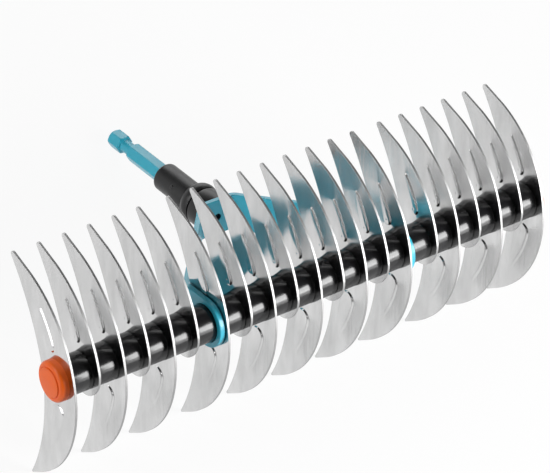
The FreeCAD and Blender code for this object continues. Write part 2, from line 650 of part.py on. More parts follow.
def make_shank():
    """The hexagon shank: welded to the flat, with a waist and a knob for the handle's catch."""
    body = new_body("shank", "-yoke_tip")
    sketch = new_sketch(body, "XZ_Plane", "hexagon")
    bind(sketch, "AttachmentOffset.Base.z", "-flat_back")
    hexagon(sketch, "hex_flats")
    pad(body, sketch, "knob_end - flat_back", backwards=True)
    outside = "hex_corner + overrun"
    sketch = new_sketch(body, "YZ_Plane", "waist")
    outline(
        sketch,
        [
            ("waist_start - hex_chamfer", "hex_corner"), ("waist_start", "hex_end_radius"),
            ("waist_start", "waist_radius + waist_round"), ("waist_start + waist_round", "waist_radius"),
            ("knob_start - waist_round", "waist_radius"), ("knob_start", "waist_radius + waist_round"),
            ("knob_start", "hex_end_radius"), ("knob_start + hex_chamfer", "hex_corner"),
            ("knob_start + hex_chamfer", outside), ("waist_start - hex_chamfer", outside),
        ],
        [None, None, ("waist_round", OUT), None, ("waist_round", OUT), None, None, None, None, None],
    )
    revolve(body, sketch, "PartDesign::Groove")
    sketch = new_sketch(body, "YZ_Plane", "end")
    polygon(sketch, [
        ("knob_end", "hex_end_radius"), ("knob_end + overrun", "hex_end_radius"),
        ("knob_end + overrun", outside), ("knob_end - hex_chamfer", outside),
        ("knob_end - hex_chamfer", "hex_corner"),
    ])
    revolve(body, sketch, "PartDesign::Groove")
    sketch = new_sketch(body, "XZ_Plane", "vent")
    bind(sketch, "AttachmentOffset.Base.z", "-flat_back")
    circle(sketch, "flat_hole_radius")
    cut_deep(body, sketch, "vent_depth")


def make_blade_set():
    """Everything that turns about the axle."""
    for count in range(1, BLADES + 1):
        make_blade(count)
    spacer = 0
    bearing = 0
    for count in range(1, BLADES):
        x = f"({blade_x(count)} + {blade_x(count + 1)}) / 2"
        if count in (OUTER_BLADES, OUTER_BLADES + INNER_BLADES):
            bearing += 1
            make_tube(f"bearing_tube_{bearing}", "bearing_length", x)
        else:
            spacer += 1
            make_tube(f"tube_{spacer:02d}", "spacer_length", x)
    make_rod()
    for word, side in (("left", -1), ("right", 1)):
        make_nut(f"nut_{word}", side)
        make_cap(f"cap_{word}", side)


def check_and_write():
    """Stop at anything that failed, then write one file for each sub-part."""
    for item in doc.Objects:
        for word in ("Invalid", "Error"):
            if word in item.State:
                raise RuntimeError(f"{item.Name} is {word}")
    for body in pieces:
        if body.Shape.isNull() or not body.Shape.isValid():
            raise RuntimeError(f"{body.Label} has no good shape")
    os.makedirs("parts", exist_ok=True)
    for body in pieces:
        body.Shape.exportStep(f"parts/{body.Label}.step")
    for name in ("axle_y", "axle_height", "yoke_tip", "stop_turn", "swing"):
        print(name, round(number(name), 4))


fill_sheet()
make_blade_set()
make_yoke()
make_collar()
make_sleeve()
make_shank()
doc.recompute()
check_and_write()
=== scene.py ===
import bmesh
import bpy
import json
import math
from mathutils import Matrix, Vector
from mathutils.geometry import delaunay_2d_cdt


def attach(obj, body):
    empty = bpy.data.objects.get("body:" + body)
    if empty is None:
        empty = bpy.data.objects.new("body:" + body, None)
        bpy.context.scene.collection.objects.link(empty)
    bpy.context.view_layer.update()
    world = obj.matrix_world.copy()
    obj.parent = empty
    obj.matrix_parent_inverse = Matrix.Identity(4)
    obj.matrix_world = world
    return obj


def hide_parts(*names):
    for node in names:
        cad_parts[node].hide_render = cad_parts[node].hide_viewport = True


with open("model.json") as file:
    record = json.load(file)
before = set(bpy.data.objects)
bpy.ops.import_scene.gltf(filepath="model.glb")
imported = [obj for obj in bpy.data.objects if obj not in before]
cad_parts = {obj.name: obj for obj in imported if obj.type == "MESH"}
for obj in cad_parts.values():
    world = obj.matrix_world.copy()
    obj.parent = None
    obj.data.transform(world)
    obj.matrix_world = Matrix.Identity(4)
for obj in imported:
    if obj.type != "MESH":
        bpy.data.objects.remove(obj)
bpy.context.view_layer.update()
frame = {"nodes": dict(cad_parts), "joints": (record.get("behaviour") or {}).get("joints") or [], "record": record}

# Sizes are in millimetres and degrees, and MM brings them to the frame's metres.
# The blades, tubes and caps are made in a frame of their own, on the axle, with
# the upper spikes at +Z and the cutting edges at -Y. The yoke, collar, sleeve
# and shank have another, also on the axle, whose +Y is the shank's axis.
MM = 0.001

OUTER_BLADES = 6
INNER_BLADES = 9
BLADES = INNER_BLADES + 2 * OUTER_BLADES
MIDDLE_BLADE = (BLADES + 1) // 2
STOP_TURN = 5.0475

BLADE_THICK = 1.5
SPACER_LENGTH = 15.6
BEARING_LENGTH = 19.6
TUBE_RADIUS = 11.75
TUBE_BORE = 6.0
TUBE_END_ROUND = 0.9
HUB_RADIUS = 15.65
FRONT_LIP = 1.95
FRONT_RADIUS = 73.4
FRONT_DROP = 8.9
BEAK_ANGLE = 115.5
UPPER_FRONT_ANGLE = 102.0
UPPER_BACK_ANGLE = 100.4
UPPER_TIP_RISE = 1.2
UPPER_TIP_DEPTH = 1.8
UPPER_TIP_ROUND = 1.9
UPPER_HOLLOW = 165.0
POINT_ANGLE = 242.0
LOWER_FRONT_ANGLE = 250.4
LOWER_BACK_ANGLE = 250.8
LOWER_TIP_RISE = 0.7
LOWER_TIP_DEPTH = 0.45
LOWER_TIP_ROUND = 0.75
LOWER_HOLLOW = 122.0
LOBE_ANGLE = 60.0
EDGE_BREAK = 0.09
# The finely cut outline stays inside the CAD sheet by this.
SHEET_INSET = 0.02

RIB_HEIGHT = 0.9
RIB_CROWN = 75.0
RIB_END = 1.2
RIB_FOOT = 0.5
RIB_TOP = 0.9
DIMPLE_RADIUS = 0.8
DIMPLE_DEPTH = 0.16
UPPER_RIB = {"y": 5.4, "z": 19.6, "round": 3.7, "length": 21.5, "angle": 66.0}
LOWER_RIB = {"y": 0.3, "z": -22.2, "round": 5.8, "length": 27.5, "angle": -74.0}

CAP_RADIUS = 12.6
CAP_LENGTH = 5.3
CAP_ROUND = 2.4
CAP_DISC_RADIUS = 9.2
CAP_DISC_RISE = 0.7
CAP_DISC_ROUND = 0.5
CAP_BORE_RADIUS = 6.1
CAP_BORE_DEPTH = 3.7

YOKE_THICK = 3.6
YOKE_PLAY = 0.55
EYE_WALL = 3.6
EYE_CLEARANCE = 0.06
BEND_REACH = 21.4
FLAT_REACH = 87.0
FLAT_HALF_WIDTH = 11.2
FLAT_HALF_HEIGHT = 12.5
BEND_RADIUS = 3.0
FLAT_HOLE_RADIUS = 2.4
HOLE_SLACK = 0.1
VENT_DEPTH = 6.0
BAR_BREAK = 0.55
BAR_BREAK_FROM = 40.0

COLLAR_LENGTH = 11.5
COLLAR_FRONT_RADIUS = 12.0
COLLAR_CROWN = 60.0
NECK_RADIUS = 12.7
NECK_GROOVE = 1.1
NECK_GROOVE_DEPTH = 1.8
SLEEVE_LENGTH = 40.0
SLEEVE_RADIUS = 9.3
SLEEVE_RIM_ROUND = 1.6
FLANGE_LENGTH = 8.0
FLANGE_CROWN = 7.5
FLANGE_STEP = 2.2
FLANGE_FILLET = 0.6
FLARE_LENGTH = 26.0
FLARE_SIDE_SHARE = 0.5
FLARE_FADE = 1.6
NECK_BREAK = 0.4
NUB_RADIUS = 1.6
NUB_TOP_RADIUS = 0.032
NUB_HEIGHT = 0.6
NUB_SUNK = 0.15
NUB_ANGLE = 29.0
NUB_AHEAD = 18.2

HEX_FLATS = 11.0
HEX_ROUND = 0.6
SHANK_LENGTH = 34.8
WAIST_LENGTH = 8.7
WAIST_STEP = 0.7
WAIST_ROUND = 0.5
KNOB_LENGTH = 12.0
HEX_BEVEL = 0.7
HEX_CHAMFER = 1.3
HEX_SECTOR = 60

# How finely round shapes are cut: the length of a step, steps round a turn or along a
# stretch, and the angles from which edges stay sharp. HEX_TURNS are degrees from a
# corner of the hexagon, closer together where it is round.
ARC_STEP = 0.9
ARC_LEAST = 4
TURN_STEPS = 96
HOLE_STEPS = 48
EYE_STEPS = 64
BEND_STEPS = 9
ROUND_STEPS = 6
RIB_RINGS = 7
RIB_ROUND_STEPS = 9
RIB_SIDE_STEPS = 16
RIB_TIP_STEPS = 5
DIMPLE_STEPS = 12
DIMPLE_RINGS = 3
BAR_BREAK_STEPS = 3
NECK_BREAK_STEPS = 4
CROWN_STEPS = 10
RIM_STEPS = 8
FLARE_STEPS = 12
NUB_STEPS = 24
NUB_RINGS = 6
CHAMFER_STEPS = 8
HEX_TURNS = (-2.8, -1.8, -0.9, 0, 0.9, 1.8, 2.8, 7, 12, 17, 22, 26, 30, 34, 38, 43, 48, 53)
SHARP_FROM = 32.0
SLEEVE_SHARP_FROM = 40.0
SHANK_SHARP_FROM = 28.0

# The radius that stands for the axis itself, and the reach within which points are one.
AXIS_RADIUS = 0.01
SAME_SPOT = 0.00001
WELD_REACH = 0.001

# How far a cutting tool reaches past the solid, and the sides that an arc bulges to.
OVERRUN = 5.0
OUT = 1
IN = -1

# The middle part of a noise, and how far apart the noises of two pieces may be.
NOISE_LOW = 0.3
NOISE_HIGH = 0.7
NOISE_SPREAD = 40

# Ramps give start, end, and the values there. These two are over the distance from the
# axle in metres: the haze that makes a blade rougher, and where its grain is worn away.
HAZE = (0.018, 0.034, 0, 1)
HAZE_ROUGHNESS = 0.1
WORN = (0.03, 0.05, 0.08, 1)

# The photograph's camera, in the blades' frame.
CAMERA_AT = (-904.100, -1157.065, 851.790)
CAMERA_AZIMUTH = 37.322
CAMERA_ELEVATION = 29.157
SENSOR_WIDTH = 36.0
LENS = 186.913

# The studio is in metres, with a dark wedge at the front left. The floor's ramp is over
# places, and the sky's are over directions.
FRONT_LEFT = (-0.53, -0.85, 0)
ACROSS = (0.85, -0.53, 0)
UP = (0, 0, 1)
WEDGE = 0.6
FLOOR_REACH = 6.0
FLOOR_CORNERS = ((-1, -1), (1, -1), (1, 1), (-1, 1))
FLOOR_GREY = (0.8, 0.8, 0.8, 1)
FLOOR_WHITE = 0.92
FLOOR_LIT = (0.4, 1.0, 0.88, 0.0)
WHITE = (1, 1, 1, 1)
SKY_LOW = (0.0, 0.33, 1.0, 0.07)
SKY_LIT = (0.3, 0.7, 1.0, 0.0)
SKY_SOFT = 0.15

# Soft boxes: the direction that they stand in, distance, width and height, and radiance.
LAMP_AIM = (0, 0, 0.08)
LAMPS = {
    "key": ((0.529, -0.687, 0.497), 1.25, (0.7, 0.52), 15),
    "front_glow": ((0.529, -0.816, 0.23), 1.25, (0.7, 0.42), 4.4),
    "back_fill": ((-0.85, 0.35, 0.55), 1.5, (0.75, 0.8), 4.6),
    "rim": ((0.5, 0.85, 0.28), 1.6, (1.4, 0.6), 3),
    "left_fill": ((-0.97, -0.1, 0.16), 1.5, (0.8, 0.5), 3.2),
}

# The axle and the tips of the two frames at rest come from the frame, all else from sizes.
AXLE = Vector(frame["joints"][0]["pos_m"])
PLUG = [m for m in frame["record"]["mounts"] if m["name"] == "shank_plug"][0]
YOKE_TIP = math.atan2(-PLUG["axis"][2], PLUG["axis"][1])
BLADE_TIP = YOKE_TIP + math.radians(STOP_TURN)
BLADE_FRAME = Matrix.Translation(AXLE) @ Matrix.Rotation(-BLADE_TIP, 4, "X")
TO_METRES = Matrix.Scale(MM, 4)

PITCH = SPACER_LENGTH + BLADE_THICK
BEARING_EXTRA = BEARING_LENGTH - SPACER_LENGTH
FLAT_BACK = FLAT_REACH + YOKE_THICK
COLLAR_END = FLAT_BACK + COLLAR_LENGTH
SLEEVE_START = COLLAR_END + NECK_GROOVE
SLEEVE_END = SLEEVE_START + SLEEVE_LENGTH
WAIST_START = SLEEVE_END + SHANK_LENGTH
KNOB_START = WAIST_START + WAIST_LENGTH
KNOB_END = KNOB_START + KNOB_LENGTH


# Outlines

def smooth(share):
    """A share kept from 0 to 1, that starts and ends level."""
    share = min(max(share, 0), 1)
    return share * share * (3 - 2 * share)


def toward(turn):
    """The direction of a turn, one long."""
    return Vector((math.cos(turn), math.sin(turn)))


def all_round(count):
    """Evenly spaced turns all round."""
    return [2 * math.pi * index / count for index in range(count)]


def ring_outline(radius, count=TURN_STEPS):
    """A round outline."""
    return [toward(turn) * radius for turn in all_round(count)]


def arc(start, end, radius, side, step=ARC_STEP):
    """Points from start up to end on an arc that bulges OUT of or IN to the outline."""
    start, end = Vector(start), Vector(end)
    chord = end - start
    left = Vector((-chord.y, chord.x)).normalized()
    rise = math.sqrt(radius ** 2 - chord.length_squared / 4)
    centre = (start + end) / 2 + left * side * rise
    first = math.atan2(start.y - centre.y, start.x - centre.x)
    sweep = 2 * math.asin(min(1, chord.length / (2 * radius))) * side
    count = max(ARC_LEAST, math.ceil(abs(sweep) * radius / step))
    return [centre + toward(first + sweep * index / count) * radius for index in range(count)]


def rounded(corners, radius):
    """An open run of points with its inner corners rounded."""
    points = [Vector(corners[0])]
    for before, corner, after in zip(corners, corners[1:], corners[2:]):
        corner = Vector(corner)
        back = (Vector(before) - corner).normalized()
        ahead = (Vector(after) - corner).normalized()
        half = back.angle(ahead) / 2
        centre = corner + (back + ahead).normalized() * (radius / math.sin(half))
        first = corner + back * (radius / math.tan(half)) - centre
        turn = (math.pi - 2 * half) * math.copysign(1, back.y * ahead.x - back.x * ahead.y)
        for index in range(BEND_STEPS + 1):
            spin = Matrix.Rotation(turn * index / BEND_STEPS, 2)
            points.append(centre + spin @ first)
    return points + [Vector(corners[-1])]


def offset(corners, distance):
    """The same open run of corners, moved to its right by a distance."""
    points = []
    runs = [(Vector(b) - Vector(a)).normalized() for a, b in zip(corners, corners[1:])]
    sides = [Vector((run.y, -run.x)) for run in runs]
    for index, corner in enumerate(corners):
        first = sides[max(index - 1, 0)]
        second = sides[min(index, len(sides) - 1)]
        points.append(Vector(corner) + (first + second) * (distance / (1 + first.dot(second))))
    return points


def inset(outline, distance):
    """A closed outline moved towards its inside. It runs anticlockwise."""
    points = []
    for index, point in enumerate(outline):
        before = (point - outline[index - 1]).normalized()
        after = (outline[(index + 1) % len(outline)] - point).normalized()
        inward = Vector((-before.y - after.y, before.x + after.x)).normalized()
        points.append(point + inward * distance)
    return points


def on_front(angle, out=0):
    """A point of the blade by its angle on the arc of the cutting edge."""
    centre = FRONT_RADIUS - HUB_RADIUS - FRONT_LIP
    return Vector((centre, -FRONT_DROP)) + toward(math.radians(angle)) * (FRONT_RADIUS + out)


def blade_outline(is_long):
    """The blade's outline, anticlockwise from the beak down the cutting edge."""
    beak = on_front(BEAK_ANGLE)
    hub = Vector((HUB_RADIUS, 0))
    upper_front = on_front(UPPER_FRONT_ANGLE, UPPER_TIP_RISE)
    upper_back = on_front(UPPER_BACK_ANGLE, -UPPER_TIP_DEPTH)
    if is_long:
        point = on_front(POINT_ANGLE)
        lower_front = on_front(LOWER_FRONT_ANGLE, LOWER_TIP_RISE)
        lower_back = on_front(LOWER_BACK_ANGLE, -LOWER_TIP_DEPTH)
        below = arc(beak, point, FRONT_RADIUS, OUT) + [point]
        below += arc(lower_front, lower_back, LOWER_TIP_ROUND, OUT)
        below += arc(lower_back, hub, LOWER_HOLLOW, IN)
    else:
        turn = math.radians(LOBE_ANGLE)
        lobe = toward(turn) * -HUB_RADIUS
        start_z = (HUB_RADIUS + FRONT_LIP + lobe.x) / math.tan(turn / 2) + lobe.y
        drop = math.sqrt(FRONT_RADIUS ** 2 - (start_z + FRONT_DROP) ** 2)
        start = Vector((FRONT_RADIUS - HUB_RADIUS - FRONT_LIP - drop, start_z))
        lobe_round = (lobe - start).length / math.sin(turn / 2) / 2
        below = arc(beak, start, FRONT_RADIUS, OUT) + arc(start, lobe, lobe_round, OUT)
        below += arc(lobe, hub, HUB_RADIUS, OUT)
    above = arc(hub, upper_back, UPPER_HOLLOW, IN)
    above += arc(upper_back, upper_front, UPPER_TIP_ROUND, OUT) + [upper_front]
    return below + above


class Rib:
    """A teardrop rib: its round end, its narrow end and two rounded sides."""

    def __init__(self, sizes):
        self.place = Vector((sizes["y"], sizes["z"]))
        self.turn = Matrix.Rotation(math.radians(sizes["angle"]), 2)
        self.back = self.turn.transposed()
        self.round = sizes["round"]
        self.length = sizes["length"]
        near = RIB_CROWN - self.round
        far = RIB_CROWN - RIB_END
        cosine = (self.length ** 2 + near ** 2 - far ** 2) / (2 * self.length * near)
        self.spread = math.acos(cosine)
        self.centre = Vector((near * cosine, -near * math.sin(self.spread)))
        narrow = Vector((self.length, 0)) - self.centre
        self.narrow = math.atan2(narrow.y, narrow.x)

    def ring(self, depth):
        """Points all round, this deep inside the rib's foot."""
        half = []
        wide = math.pi - self.spread
        for index in range(RIB_ROUND_STEPS):
            turn = math.pi - (math.pi - wide) * index / RIB_ROUND_STEPS
            half.append(toward(turn) * (self.round - depth))
        for index in range(RIB_SIDE_STEPS + 1):
            turn = wide + (self.narrow - wide) * index / RIB_SIDE_STEPS
            half.append(self.centre + toward(turn) * (RIB_CROWN - depth))
        for index in range(1, RIB_TIP_STEPS):
            turn = self.narrow * (1 - index / RIB_TIP_STEPS)
            half.append(Vector((self.length, 0)) + toward(turn) * (RIB_END - depth))
        other = [Vector((point.x, -point.y)) for point in half[:0:-1]]
        tip = [Vector((self.length + RIB_END - depth, 0))]
        return [self.turn @ point + self.place for point in half + tip + other]

    def depth(self, point):
        """How far inside the rib's foot a point is."""
        local = self.back @ (point - self.place)
        local.y = abs(local.y)
        away = local - self.centre
        turn = math.atan2(away.y, away.x)
        if turn > math.pi - self.spread:
            return self.round - local.length
        if turn < self.narrow:
            return RIB_END - (local - Vector((self.length, 0))).length
        return RIB_CROWN - away.length

    def height(self, point):
        """The pressed sheet's height above the flat of the blade."""
        raised = RIB_HEIGHT * smooth((self.depth(point) + RIB_FOOT) / (RIB_FOOT + RIB_TOP))
        close = min((point - self.place).length / DIMPLE_RADIUS, 1)
        return raised - DIMPLE_DEPTH * (1 - close * close) ** 2


# Meshes

def new_object(name, data):
    """An object in the scene that holds this data."""
    made = bpy.data.objects.new(name, data)
    bpy.context.scene.collection.objects.link(made)
    return made


def new_mesh(name, points, faces, sharp=SHARP_FROM):
    """A mesh in metres from points in millimetres, smooth apart from its sharp edges."""
    mesh = bpy.data.meshes.new(name)
    mesh.from_pydata([tuple(point) for point in points], [], faces)
    mesh.transform(TO_METRES)
    mesh.update()
    mesh.polygons.foreach_set("use_smooth", [True] * len(mesh.polygons))
    mesh.set_sharp_from_angle(angle=math.radians(sharp))
    return mesh


def skin(rings, closed=True):
    """Points and faces of a skin over rings of equal length, with its two ends closed."""
    size = len(rings[0])
    points = [point for ring in rings for point in ring]
    faces = []
    for low in range(0, (len(rings) - 1) * size, size):
        for index in range(size):
            after = (index + 1) % size
            high = low + size
            faces.append((low + index, low + after, high + after, high + index))
    if closed:
        faces.append(tuple(range(size))[::-1])
        faces.append(tuple(range(len(points) - size, len(points))))
    return points, faces


def turned(name, profile, axis="X"):
    """A piece turned about the X or Y axis, from a closed profile of (along, radius)."""
    rings = []
    for along, radius in profile + profile[:1]:
        ring = []
        for turn in all_round(TURN_STEPS):
            across, up = radius * math.cos(turn), radius * math.sin(turn)
            ring.append((along, across, up) if axis == "X" else (across, along, -up))
        rings.append(ring)
    points, faces = skin(rings, closed=False)
    mesh = new_mesh(name, points, faces)
    weld = bmesh.new()
    weld.from_mesh(mesh)
    bmesh.ops.remove_doubles(weld, verts=weld.verts, dist=WELD_REACH * MM)
    weld.to_mesh(mesh)
    weld.free()
    return mesh


def tipped(mesh, tip):
    """The mesh turned about the axle into the pose at rest."""
    mesh.transform(Matrix.Rotation(-tip, 4, "X"))
    return mesh


def place(name, mesh, x, materials, body, nodes, slot):
    """A piece this far along the axle, that rides its body in place of its CAD nodes."""
    piece = new_object(name, mesh)
    piece.location = AXLE + Vector((x * MM, 0, 0))
    if not mesh.materials:
        for material in materials:
            mesh.materials.append(material)
    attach(piece, body)
    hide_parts(*nodes)
    return piece


def loop_edges(first, count):
    """Edges of a closed loop of points, numbered from the first."""
    return [(first + index, first + (index + 1) % count) for index in range(count)]


def flat_side(rim, ribs):
    """Spots and triangles of a blade's flat side, and the spots' numbers along the rim."""
    flat = list(rim)
    edges = loop_edges(0, len(rim))
    for rib in ribs:
        for step in range(RIB_RINGS):
            ring = rib.ring((RIB_FOOT + RIB_TOP) * step / (RIB_RINGS - 1) - RIB_FOOT)
            edges += loop_edges(len(flat), len(ring))
            flat += ring
        flat.append(rib.place)
        for step in range(1, DIMPLE_RINGS + 2):
            reach = DIMPLE_RADIUS * step / DIMPLE_RINGS
            flat += [rib.place + spot for spot in ring_outline(reach, DIMPLE_STEPS)]
    spots, _, triangles, origins, _, _ = delaunay_2d_cdt(flat, edges, [], 1, SAME_SPOT)
    numbers = {start: index for index, origin in enumerate(origins) for start in origin}
    return spots, triangles, [numbers[start] for start in range(len(rim))]


def blade_mesh(name, is_long):
    """A blade with its ribs pressed out to the left, and its edges broken."""
    outline = inset(blade_outline(is_long), SHEET_INSET)
    ribs = [Rib(UPPER_RIB)] + ([Rib(LOWER_RIB)] if is_long else [])
    spots, triangles, rim = flat_side(inset(outline, EDGE_BREAK), ribs)
    heights = [sum(rib.height(spot) for rib in ribs) for spot in spots]
    half = BLADE_THICK / 2
    proud = [(-half - high, spot.x, spot.y) for spot, high in zip(spots, heights)]
    hollow = [(half - high, spot.x, spot.y) for spot, high in zip(spots, heights)]
    near = [(EDGE_BREAK - half, spot.x, spot.y) for spot in outline]
    far = [(half - EDGE_BREAK, spot.x, spot.y) for spot in outline]
    points = proud + hollow + near + far
    size = len(spots)
    faces = [tuple(face[::-1]) for face in triangles]
    faces += [tuple(size + spot for spot in face) for face in triangles]
    first_near = 2 * size
    first_far = first_near + len(outline)
    edge_faces = []
    for index, after in loop_edges(0, len(outline)):
        rows = [
            (rim[index], rim[after]),
            (first_near + index, first_near + after),
            (first_far + index, first_far + after),
            (size + rim[index], size + rim[after]),
        ]
        for upper, lower in zip(rows, rows[1:]):
            edge_faces.append((upper[0], upper[1], lower[1], lower[0]))
    mesh = new_mesh(name, points, faces + edge_faces)
    for polygon in mesh.polygons[len(faces):]:
        polygon.material_index = 1
    return mesh


def round_corner(centre, radius, from_turn, to_turn, count=ROUND_STEPS):
    """Part of a circle in a profile, about its own centre, between two turns in degrees."""
    spots = []
    for index in range(count + 1):
        turn = math.radians(from_turn + (to_turn - from_turn) * index / count)
        spots.append((centre[0] + radius * math.cos(turn), centre[1] + radius * math.sin(turn)))
    return spots


def tube_mesh(name, length):
    """A tube with rounded ends and a bore for the rod."""
    half = length / 2
    inside = TUBE_RADIUS - TUBE_END_ROUND
    profile = [(-half, TUBE_BORE)]
    profile += round_corner((TUBE_END_ROUND - half, inside), TUBE_END_ROUND, 180, 90)
    profile += round_corner((half - TUBE_END_ROUND, inside), TUBE_END_ROUND, 90, 0)
    profile += [(half, TUBE_BORE)]
    return turned(name, profile)


def cap_mesh(name, side):
    """An end cap: a rounded rim, a groove and a raised disc."""
    face = CAP_LENGTH + CAP_DISC_RISE
    groove = CAP_DISC_ROUND / 2
    disc_corner = (face - CAP_DISC_ROUND, CAP_DISC_RADIUS - CAP_DISC_ROUND)
    profile = [(0, CAP_BORE_RADIUS), (0, CAP_RADIUS)]
    profile += round_corner((CAP_LENGTH - CAP_ROUND, CAP_RADIUS - CAP_ROUND), CAP_ROUND, 90, 0)
    profile += round_corner((CAP_LENGTH, CAP_DISC_RADIUS + groove), groove, 90, 270)
    profile += round_corner(disc_corner, CAP_DISC_ROUND, 90, 0)
    profile += [(face, AXIS_RADIUS), (CAP_BORE_DEPTH, AXIS_RADIUS)]
    profile += [(CAP_BORE_DEPTH, CAP_BORE_RADIUS)]
    mesh = turned(name, [(side * along, radius) for along, radius in profile])
    if side < 0:
        mesh.flip_normals()
    return mesh


def prism(outline, axis, low, high):
    """A straight solid with this outline across the X, Y or Z axis."""
    at = "XYZ".index(axis)
    rings = [[(*spot[:at], level, *spot[at:]) for spot in outline] for level in (low, high)]
    points, faces = skin(rings)
    mesh = new_mesh("prism", points, faces)
    fix = bmesh.new()
    fix.from_mesh(mesh)
    bmesh.ops.recalc_face_normals(fix, faces=fix.faces)
    fix.to_mesh(mesh)
    fix.free()
    return new_object("prism", mesh)


def baked(solid):
    """The mesh of a solid with its modifiers worked in, and the solid gone."""
    graph = bpy.context.evaluated_depsgraph_get()
    mesh = bpy.data.meshes.new_from_object(solid.evaluated_get(graph))
    bpy.data.objects.remove(solid)
    return mesh


def carve(solid, tool, operation):
    """The solid cut with a tool, or what both fill."""
    step = solid.modifiers.new("carve", "BOOLEAN")
    step.object = tool
    step.operation = operation
    step.solver = "EXACT"
    mesh = baked(solid)
    bpy.data.objects.remove(tool)
    return new_object("carved", mesh)


def paint_hole_shade(mesh):
    """The second material, a dark colour that paints the shade falling in the hole, for the wall and the bottom of
    the hole in the flat.
    """
    reach = (FLAT_HOLE_RADIUS + HOLE_SLACK) * MM
    end = (FLAT_BACK + VENT_DEPTH + HOLE_SLACK) * MM
    for polygon in mesh.polygons:
        corners = [mesh.vertices[spot].co for spot in polygon.vertices]
        inside = all(math.hypot(corner.x, corner.z) < reach for corner in corners)
        if inside and polygon.center.y < end:
            # These faces take the painted shade of the hole.
            polygon.material_index = 1
    return mesh


def yoke_mesh():
    """The bar with its flat, two arms and two eyes, all its edges broken."""
    eye_bore = TUBE_RADIUS + EYE_CLEARANCE
    eye_radius = eye_bore + EYE_WALL
    eye_face = (INNER_BLADES - 1) / 2 * PITCH + BLADE_THICK / 2 + YOKE_PLAY
    run = [
        (eye_face, -eye_radius - OVERRUN),
        (eye_face, BEND_REACH),
        (FLAT_HALF_WIDTH, FLAT_REACH),
        (-FLAT_HALF_WIDTH, FLAT_REACH),
        (-eye_face, BEND_REACH),
        (-eye_face, -eye_radius - OVERRUN),
    ]
    inner = rounded(run, BEND_RADIUS)
    outer = rounded(offset(run, YOKE_THICK), BEND_RADIUS + YOKE_THICK)
    solid = prism(outer + inner[::-1], "Z", -eye_radius - OVERRUN, eye_radius + OVERRUN)
    reach = math.hypot(FLAT_REACH, FLAT_HALF_HEIGHT)
    taper = math.asin(eye_radius / reach) - math.atan2(FLAT_HALF_HEIGHT, FLAT_REACH)
    far = FLAT_BACK + OVERRUN
    far_z = (eye_radius - far * math.sin(taper)) / math.cos(taper)
    side = [Vector((far, -far_z)), Vector((far, far_z))]
    first = math.pi / 2 - taper
    for index in range(EYE_STEPS + 1):
        side.append(toward(first + 2 * (math.pi - first) * index / EYE_STEPS) * eye_radius)
    width = eye_face + YOKE_THICK + OVERRUN
    solid = carve(solid, prism(side, "X", -width, width), "INTERSECT")
    solid = carve(solid, prism(ring_outline(eye_bore), "X", -width, width), "DIFFERENCE")
    hole = ring_outline(FLAT_HOLE_RADIUS, HOLE_STEPS)
    drill = prism(hole, "Y", FLAT_REACH - OVERRUN, FLAT_BACK + OVERRUN)
    solid = carve(solid, drill, "DIFFERENCE")
    bevel = solid.modifiers.new("edges", "BEVEL")
    bevel.width = BAR_BREAK * MM
    bevel.segments = BAR_BREAK_STEPS
    bevel.limit_method = "ANGLE"
    bevel.angle_limit = math.radians(BAR_BREAK_FROM)
    bevel.use_clamp_overlap = False
    bevel.harden_normals = True
    mesh = baked(solid)
    mesh.name = "yoke"
    return paint_hole_shade(mesh)


def lathe_rings(profile, turns, radius_at):
    """Rings round the shank's axis, whose radius may change with the turn."""
    rings = []
    for along, radius in profile:
        ring = []
        for turn in turns:
            reach = radius_at(along, radius, turn)
            ring.append((reach * math.cos(turn), along, -reach * math.sin(turn)))
        rings.append(ring)
    return rings


def crown(start, end, radius):
    """A slightly rounded side between two places of a profile."""
    step = (Vector(end) - Vector(start)).length / CROWN_STEPS
    return [tuple(spot) for spot in arc(start, end, radius, IN, step)]


def collar_mesh():
    """The collar behind the flat, down to the groove in front of the sleeve."""
    hole = HEX_FLATS / 2
    spigot = NECK_RADIUS - NECK_GROOVE_DEPTH
    start = (FLAT_BACK + NECK_BREAK, COLLAR_FRONT_RADIUS)
    end = (COLLAR_END - NECK_BREAK, NECK_RADIUS)
    corner = (COLLAR_END - NECK_BREAK, NECK_RADIUS - NECK_BREAK)
    profile = [(FLAT_BACK, hole), (FLAT_BACK, COLLAR_FRONT_RADIUS - NECK_BREAK)]
    profile += crown(start, end, COLLAR_CROWN)
    profile += round_corner(corner, NECK_BREAK, 90, 0, NECK_BREAK_STEPS)
    profile += [(COLLAR_END, spigot), (SLEEVE_START, spigot), (SLEEVE_START, hole)]
    return turned("collar", profile, axis="Y")


def nub_skin():
    """Points and faces of the low round nub on the sleeve's side."""
    turn = math.radians(NUB_ANGLE)
    out = Vector((-math.cos(turn), 0, math.sin(turn)))
    along = Vector((0, 1, 0))
    up = out.cross(along)
    foot = out * (SLEEVE_RADIUS - NUB_SUNK) + along * (SLEEVE_END - NUB_AHEAD)
    rings = []
    for step in range(NUB_RINGS + 1):
        share = step / NUB_RINGS
        reach = max(NUB_RADIUS * (1 - share), NUB_TOP_RADIUS)
        high = (NUB_HEIGHT + NUB_SUNK) * (1 - (1 - share) ** 3)
        rings.append([
            foot + out * high + along * spot.x + up * spot.y
            for spot in ring_outline(reach, NUB_STEPS)
        ])
    return skin(rings)


